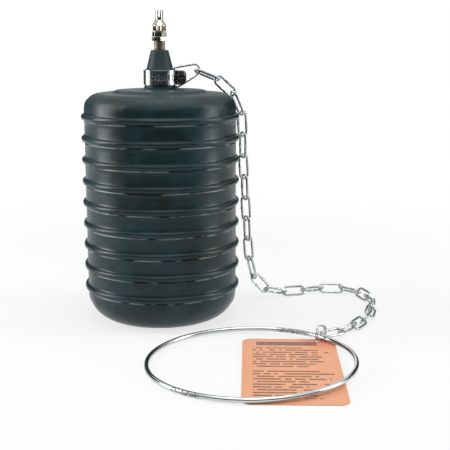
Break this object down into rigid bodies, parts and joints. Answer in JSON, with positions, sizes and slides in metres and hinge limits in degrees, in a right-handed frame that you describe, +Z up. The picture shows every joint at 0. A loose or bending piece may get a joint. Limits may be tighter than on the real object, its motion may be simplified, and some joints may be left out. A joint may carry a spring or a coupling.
{
  "type": "inflatable pipe plug",
  "caption": "Ribbed rubber bag plug for sealing a pipe, with a clamped neck, capped inflation valve and a lowering chain that ends in a pull ring and a blank tag.",
  "frame": {"origin": "centre of the bag's flat base, on the axis of the bag, neck and valve", "axes": "+Z up the axis through neck and valve; -Y towards the side with the band's free tail; +X towards the clamp's housing and the chain"},
  "size_m": [0.2719, 0.3056, 0.2758],
  "materials": {
    "rubber": "satin moulded rubber",
    "seal_rubber": "matt",
    "zinc": "bright zinc plate",
    "nickel": "bright nickel plate",
    "thread_steel": "dull steel, threaded",
    "brass": "turned",
    "stainless": "bright rolled strip",
    "card": "smooth coated card"
  },
  "bodies": {
    "plug": {"plug_body": "rubber", "neck_insert": "thread_steel", "pipe_nipple": "thread_steel", "hex_reducer": "nickel", "valve_body": "nickel", "valve_core_barrel": "brass", "valve_core_spring": "stainless", "clamp_band": "stainless", "clamp_housing": "stainless", "chain_link_01": "zinc", "chain_link_02": "zinc", "chain_link_03": "zinc", "chain_link_04": "zinc", "chain_link_05": "zinc", "chain_link_06": "zinc", "chain_link_07": "zinc", "chain_link_08": "zinc", "chain_link_09": "zinc", "chain_link_10": "zinc", "chain_link_11": "zinc", "chain_link_12": "zinc", "chain_link_13": "zinc", "chain_link_14": "zinc", "chain_link_15": "zinc", "chain_link_16": "zinc", "chain_link_17": "zinc", "chain_link_18": "zinc", "chain_link_19": "zinc", "chain_link_20": "zinc", "chain_link_21": "zinc", "chain_link_22": "zinc", "chain_link_23": "zinc", "chain_link_24": "zinc", "chain_link_25": "zinc", "chain_link_26": "zinc", "split_ring": "zinc", "tag": "card"},
    "cap": {"valve_cap": "nickel", "cap_gasket": "seal_rubber"},
    "core_pin": {"valve_core_pin": "brass", "valve_core_seal": "seal_rubber"},
    "screw": {"clamp_screw": "nickel"},
    "ring": {"pull_ring": "zinc"}
  },
  "joints": [
    {"name": "cap_lift", "type": "slide", "parent": "plug", "child": "cap", "axis": [0, 0, 1], "range_m": [0, 0.015]},
    {"name": "pin_press", "type": "slide", "parent": "plug", "child": "core_pin", "axis": [0, 0, -1], "range_m": [0, 0.0015], "stiffness_N_per_m": 600, "springref_m": -0.001, "deforming": ["valve_core_spring"]},
    {"name": "clamp_screw_turn", "type": "hinge", "parent": "plug", "child": "screw", "pos_m": [0.0188, 0, 0.21745], "axis": [0, 1, 0], "continuous": true},
    {"name": "ring_lift", "type": "hinge", "parent": "plug", "child": "ring", "pos_m": [0.13824, -0.08613, 0.00495], "axis": [-0.682, 0.7314, 0], "range_deg": [0, 90]}
  ]
}
